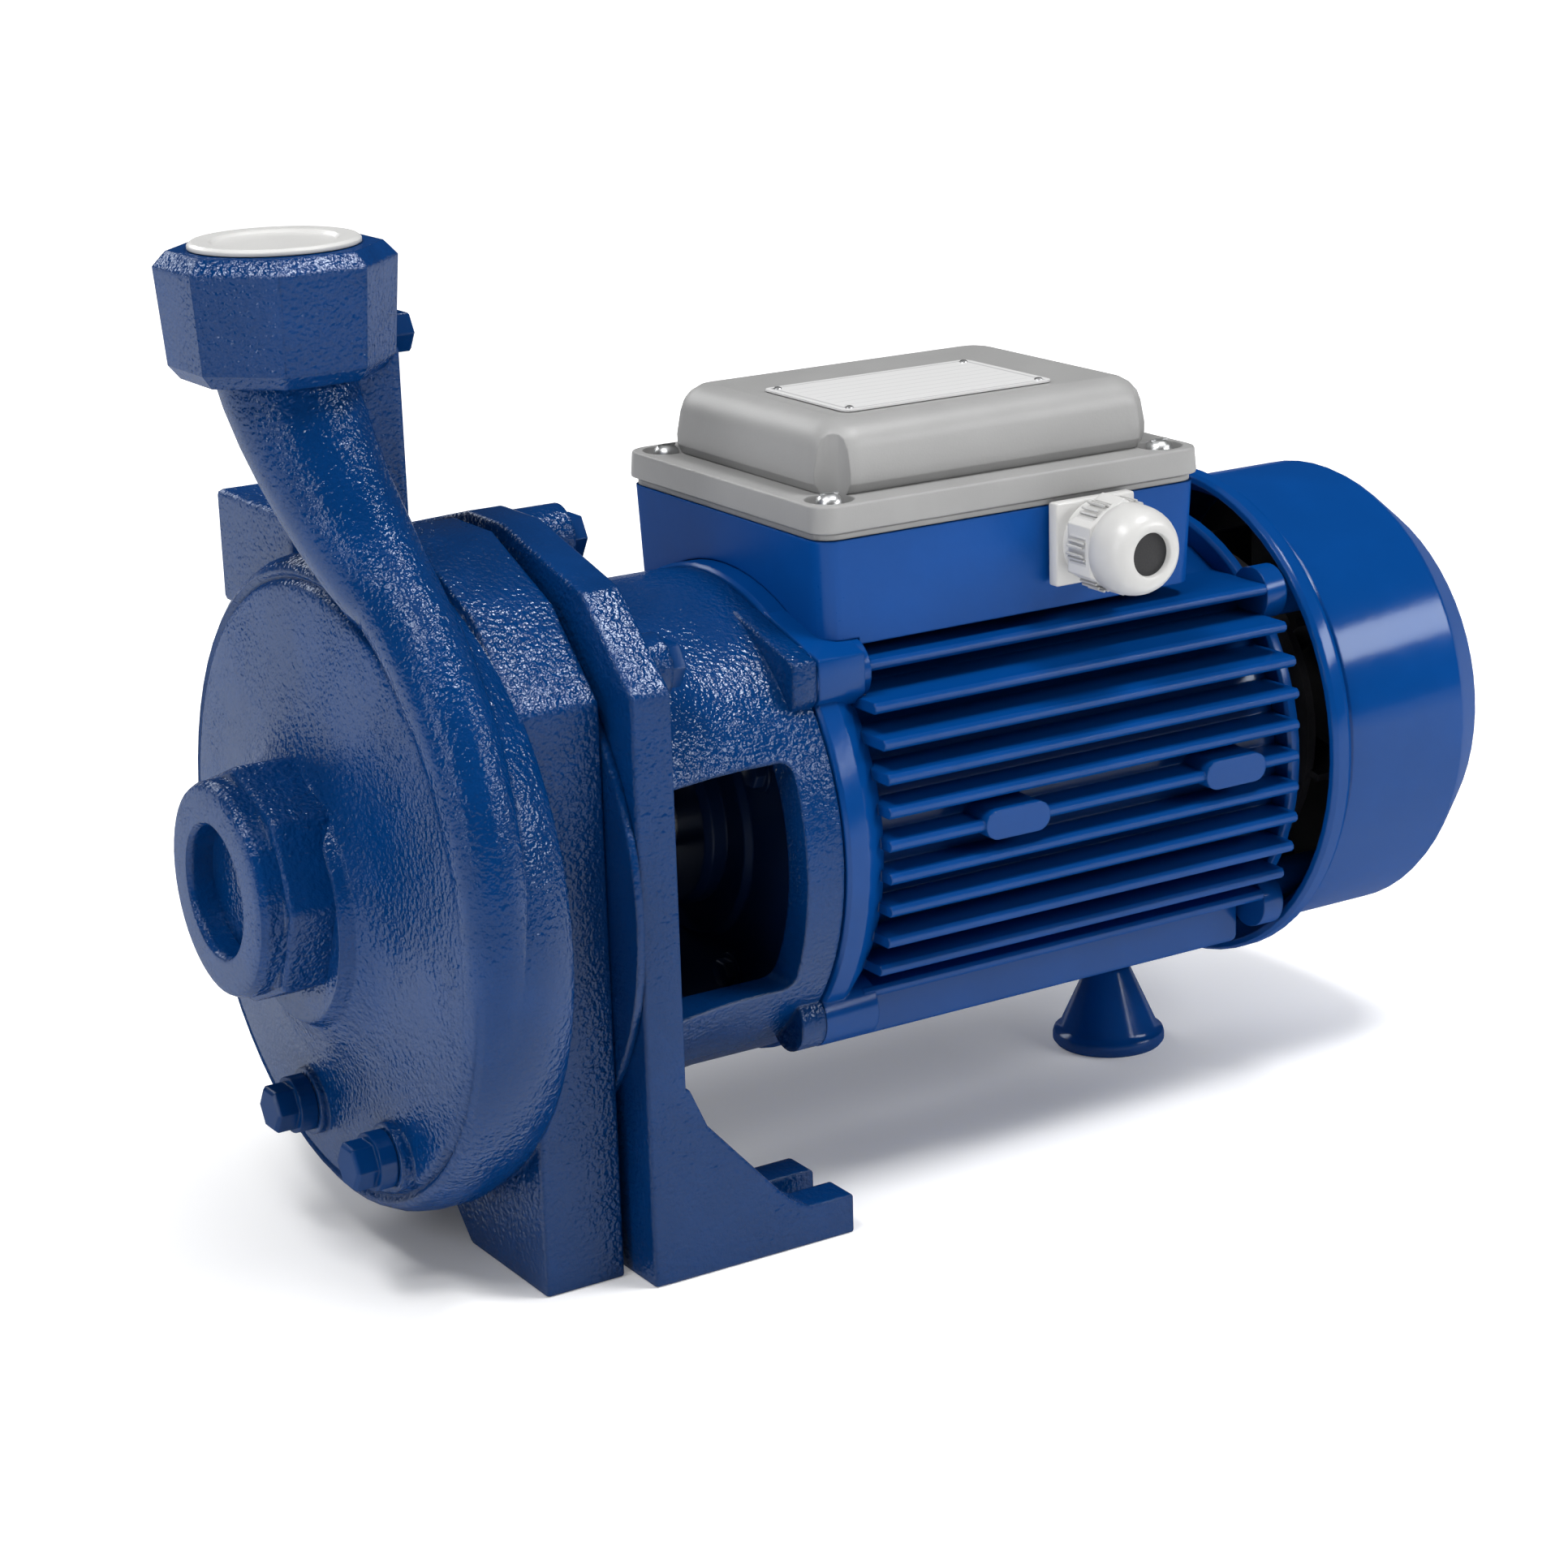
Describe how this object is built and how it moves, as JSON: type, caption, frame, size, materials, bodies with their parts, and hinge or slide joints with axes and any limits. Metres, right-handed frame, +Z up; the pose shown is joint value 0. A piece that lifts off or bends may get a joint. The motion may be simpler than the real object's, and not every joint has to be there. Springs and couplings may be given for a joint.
{
  "type": "centrifugal water pump",
  "caption": "Close-coupled centrifugal water pump: cast volute with suction and discharge ports, open bracket on feet, finned electric motor, terminal box and fan cover",
  "frame": {"origin": "Centre of the bounding box in plan, on the floor under the pump", "axes": "+X along the shaft from the suction port to the fan cover, +Y away from the cable gland, +Z up"},
  "size_m": [0.433, 0.2032, 0.3079],
  "materials": {
    "casing_paint": "glossy blue enamel over a cast skin",
    "motor_paint": "smooth glossy blue enamel",
    "cover_grey": "satin moulded grey",
    "white_plastic": "satin moulded white",
    "bright_steel": "turned bright",
    "black_rubber": "matt black",
    "impeller_brass": "machined",
    "shield_dark": "dark enamel over a casting"
  },
  "bodies": {
    "root": {"pump_body": "casing_paint", "drain_plug_near": "casing_paint", "drain_plug_far": "casing_paint", "priming_plug": "bright_steel", "discharge_cap": "white_plastic", "casing_cover": "bright_steel", "impeller": "impeller_brass", "shaft": "bright_steel", "slinger_ring": "black_rubber", "motor_bracket": "casing_paint", "front_end_shield": "shield_dark", "motor_housing": "motor_paint", "rear_end_shield": "shield_dark", "fan": "black_rubber", "fan_cover": "motor_paint", "terminal_box": "motor_paint", "box_gasket": "black_rubber", "box_cover": "cover_grey", "rating_plate": "bright_steel", "gland_plate": "white_plastic", "gland_body": "white_plastic", "gland_nut": "white_plastic", "support_foot": "motor_paint", "foot_stud": "bright_steel"}
  },
  "joints": []
}
